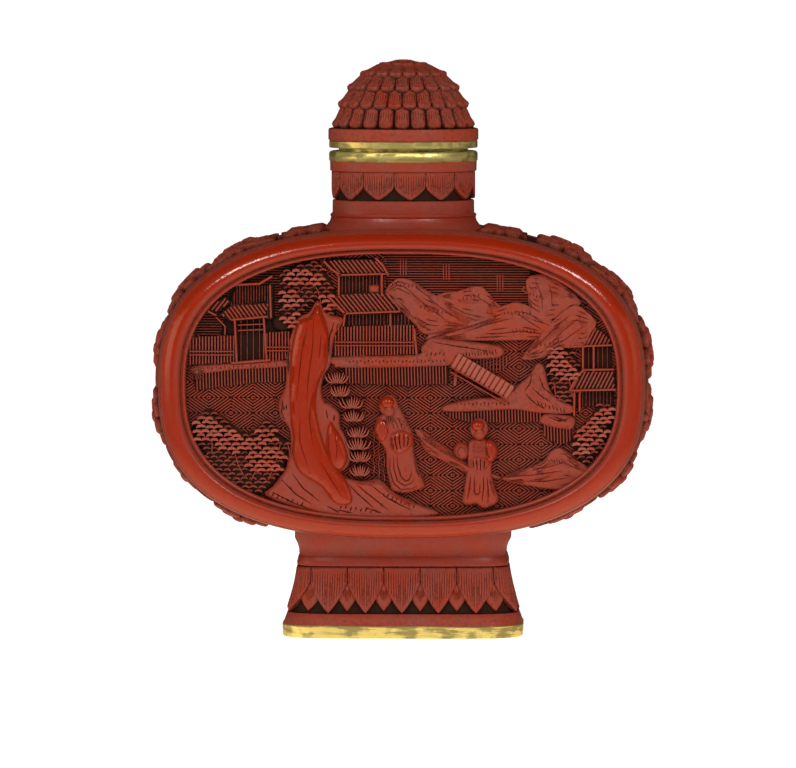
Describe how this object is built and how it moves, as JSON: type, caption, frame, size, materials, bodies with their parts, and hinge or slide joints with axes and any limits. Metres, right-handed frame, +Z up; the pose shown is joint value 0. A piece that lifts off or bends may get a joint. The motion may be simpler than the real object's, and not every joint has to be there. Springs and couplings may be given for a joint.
{
  "type": "snuff bottle",
  "caption": "Flattened oval snuff bottle of carved red lacquer with a landscape panel, a rimmed neck, a flared foot and a domed stopper.",
  "frame": {"origin": "middle of the underside of the foot rim, on the surface that the bottle stands on", "axes": "+Z up through the neck, +X to the right of the front panel, front towards -Y"},
  "size_m": [0.0658, 0.0264, 0.0747],
  "materials": {
    "cinnabar_lacquer": "carved red lacquer, polished on the high parts and dark in the cuts",
    "brass": "worn, mottled with tarnish"
  },
  "bodies": {
    "root": {"lacquer_bottle": "cinnabar_lacquer", "stopper_dome": "cinnabar_lacquer", "foot_rim": "brass", "mouth_rim": "brass", "stopper_rim": "brass"}
  },
  "joints": []
}
